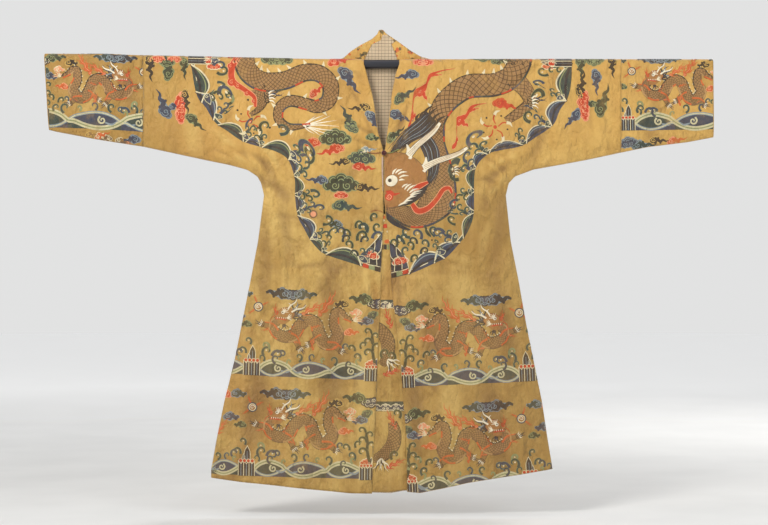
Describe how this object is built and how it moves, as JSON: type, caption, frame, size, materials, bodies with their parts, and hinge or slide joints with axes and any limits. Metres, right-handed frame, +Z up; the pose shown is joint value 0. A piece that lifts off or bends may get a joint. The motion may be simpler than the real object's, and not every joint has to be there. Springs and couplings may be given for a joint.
{
  "type": "chuba on a display rod",
  "caption": "Long-sleeved open-fronted robe of figured silk, hung flat on a plain round rod through its sleeves, with a pieced underlap gore and a standing back collar.",
  "frame": {"origin": "middle of the display rod's axis, in the robe's centre plane, at shoulder height", "axes": "+Z up, the robe's front faces -Y, +X along the rod to the right of someone who looks at the front"},
  "size_m": [1.9091, 0.0543, 1.3279],
  "materials": {
    "brocade": "figured silk, soft sheen",
    "facing": "figured silk, soft sheen",
    "lining": "plain weave check, matte",
    "button": "knotted silk cord",
    "loop": "silk cord",
    "stem": "silk cord",
    "rod": "painted near black, satin"
  },
  "bodies": {
    "root": {"body_left": "brocade", "body_right": "brocade", "sleeve_end_left": "brocade", "sleeve_end_right": "brocade", "front_gore": "brocade", "collar": "brocade", "collar_facing_left": "facing", "collar_facing_right": "facing", "neck_lining": "lining", "button_knot": "button", "button_loop": "loop", "button_stem": "stem", "second_loop_threads": "loop", "rod": "rod"}
  },
  "joints": []
}
